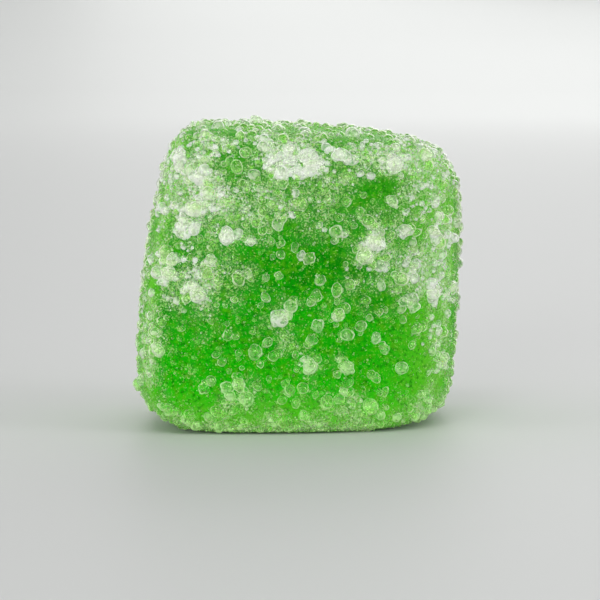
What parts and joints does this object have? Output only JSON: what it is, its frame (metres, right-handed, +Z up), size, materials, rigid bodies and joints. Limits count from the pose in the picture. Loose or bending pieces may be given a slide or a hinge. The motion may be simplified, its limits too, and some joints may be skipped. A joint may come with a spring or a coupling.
{
  "type": "sour gummy",
  "caption": "Pillow-shaped cube of soft green gummy candy, coated all over with sour sugar grains, standing on its flat base.",
  "frame": {"origin": "under the middle of the block, on the surface that its flat base rests on", "axes": "+Z up, -Y out of the front face, +X to the right seen from the front, along the width"},
  "size_m": [0.0211, 0.0189, 0.0194],
  "materials": {
    "sugared_jelly": "translucent green jelly under a matt coat of clear white sugar grains"
  },
  "bodies": {
    "root": {"gummy": "sugared_jelly"}
  },
  "joints": []
}
